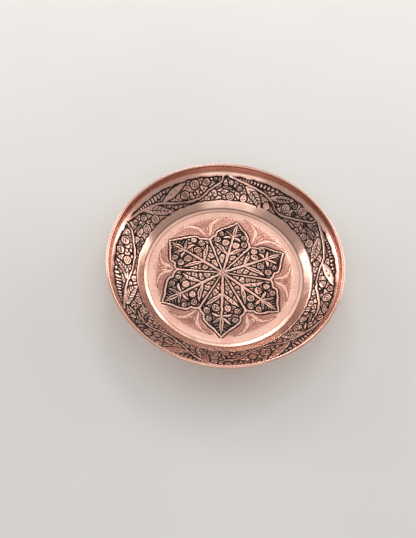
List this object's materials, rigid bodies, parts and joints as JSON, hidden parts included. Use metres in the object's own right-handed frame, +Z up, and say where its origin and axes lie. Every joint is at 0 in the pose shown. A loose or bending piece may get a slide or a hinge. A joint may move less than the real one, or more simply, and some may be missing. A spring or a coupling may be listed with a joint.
{
  "type": "copper tray",
  "caption": "Round shallow copper tray with a sunk floor, a flared band, an upright rim curled over a wire, and chased leaf and vine ornament.",
  "frame": {"origin": "centre of the flat underside of the floor, where the tray stands", "axes": "+Z up along the tray's axis, out of the open side; +X towards the rib between two leaves of the star"},
  "size_m": [0.25, 0.25, 0.041],
  "materials": {
    "tray_copper": "polished rosy copper, chased lines blackened",
    "wire_copper": "plain drawn copper wire"
  },
  "bodies": {
    "root": {"tray_body": "tray_copper", "rim_wire": "wire_copper"}
  },
  "joints": []
}
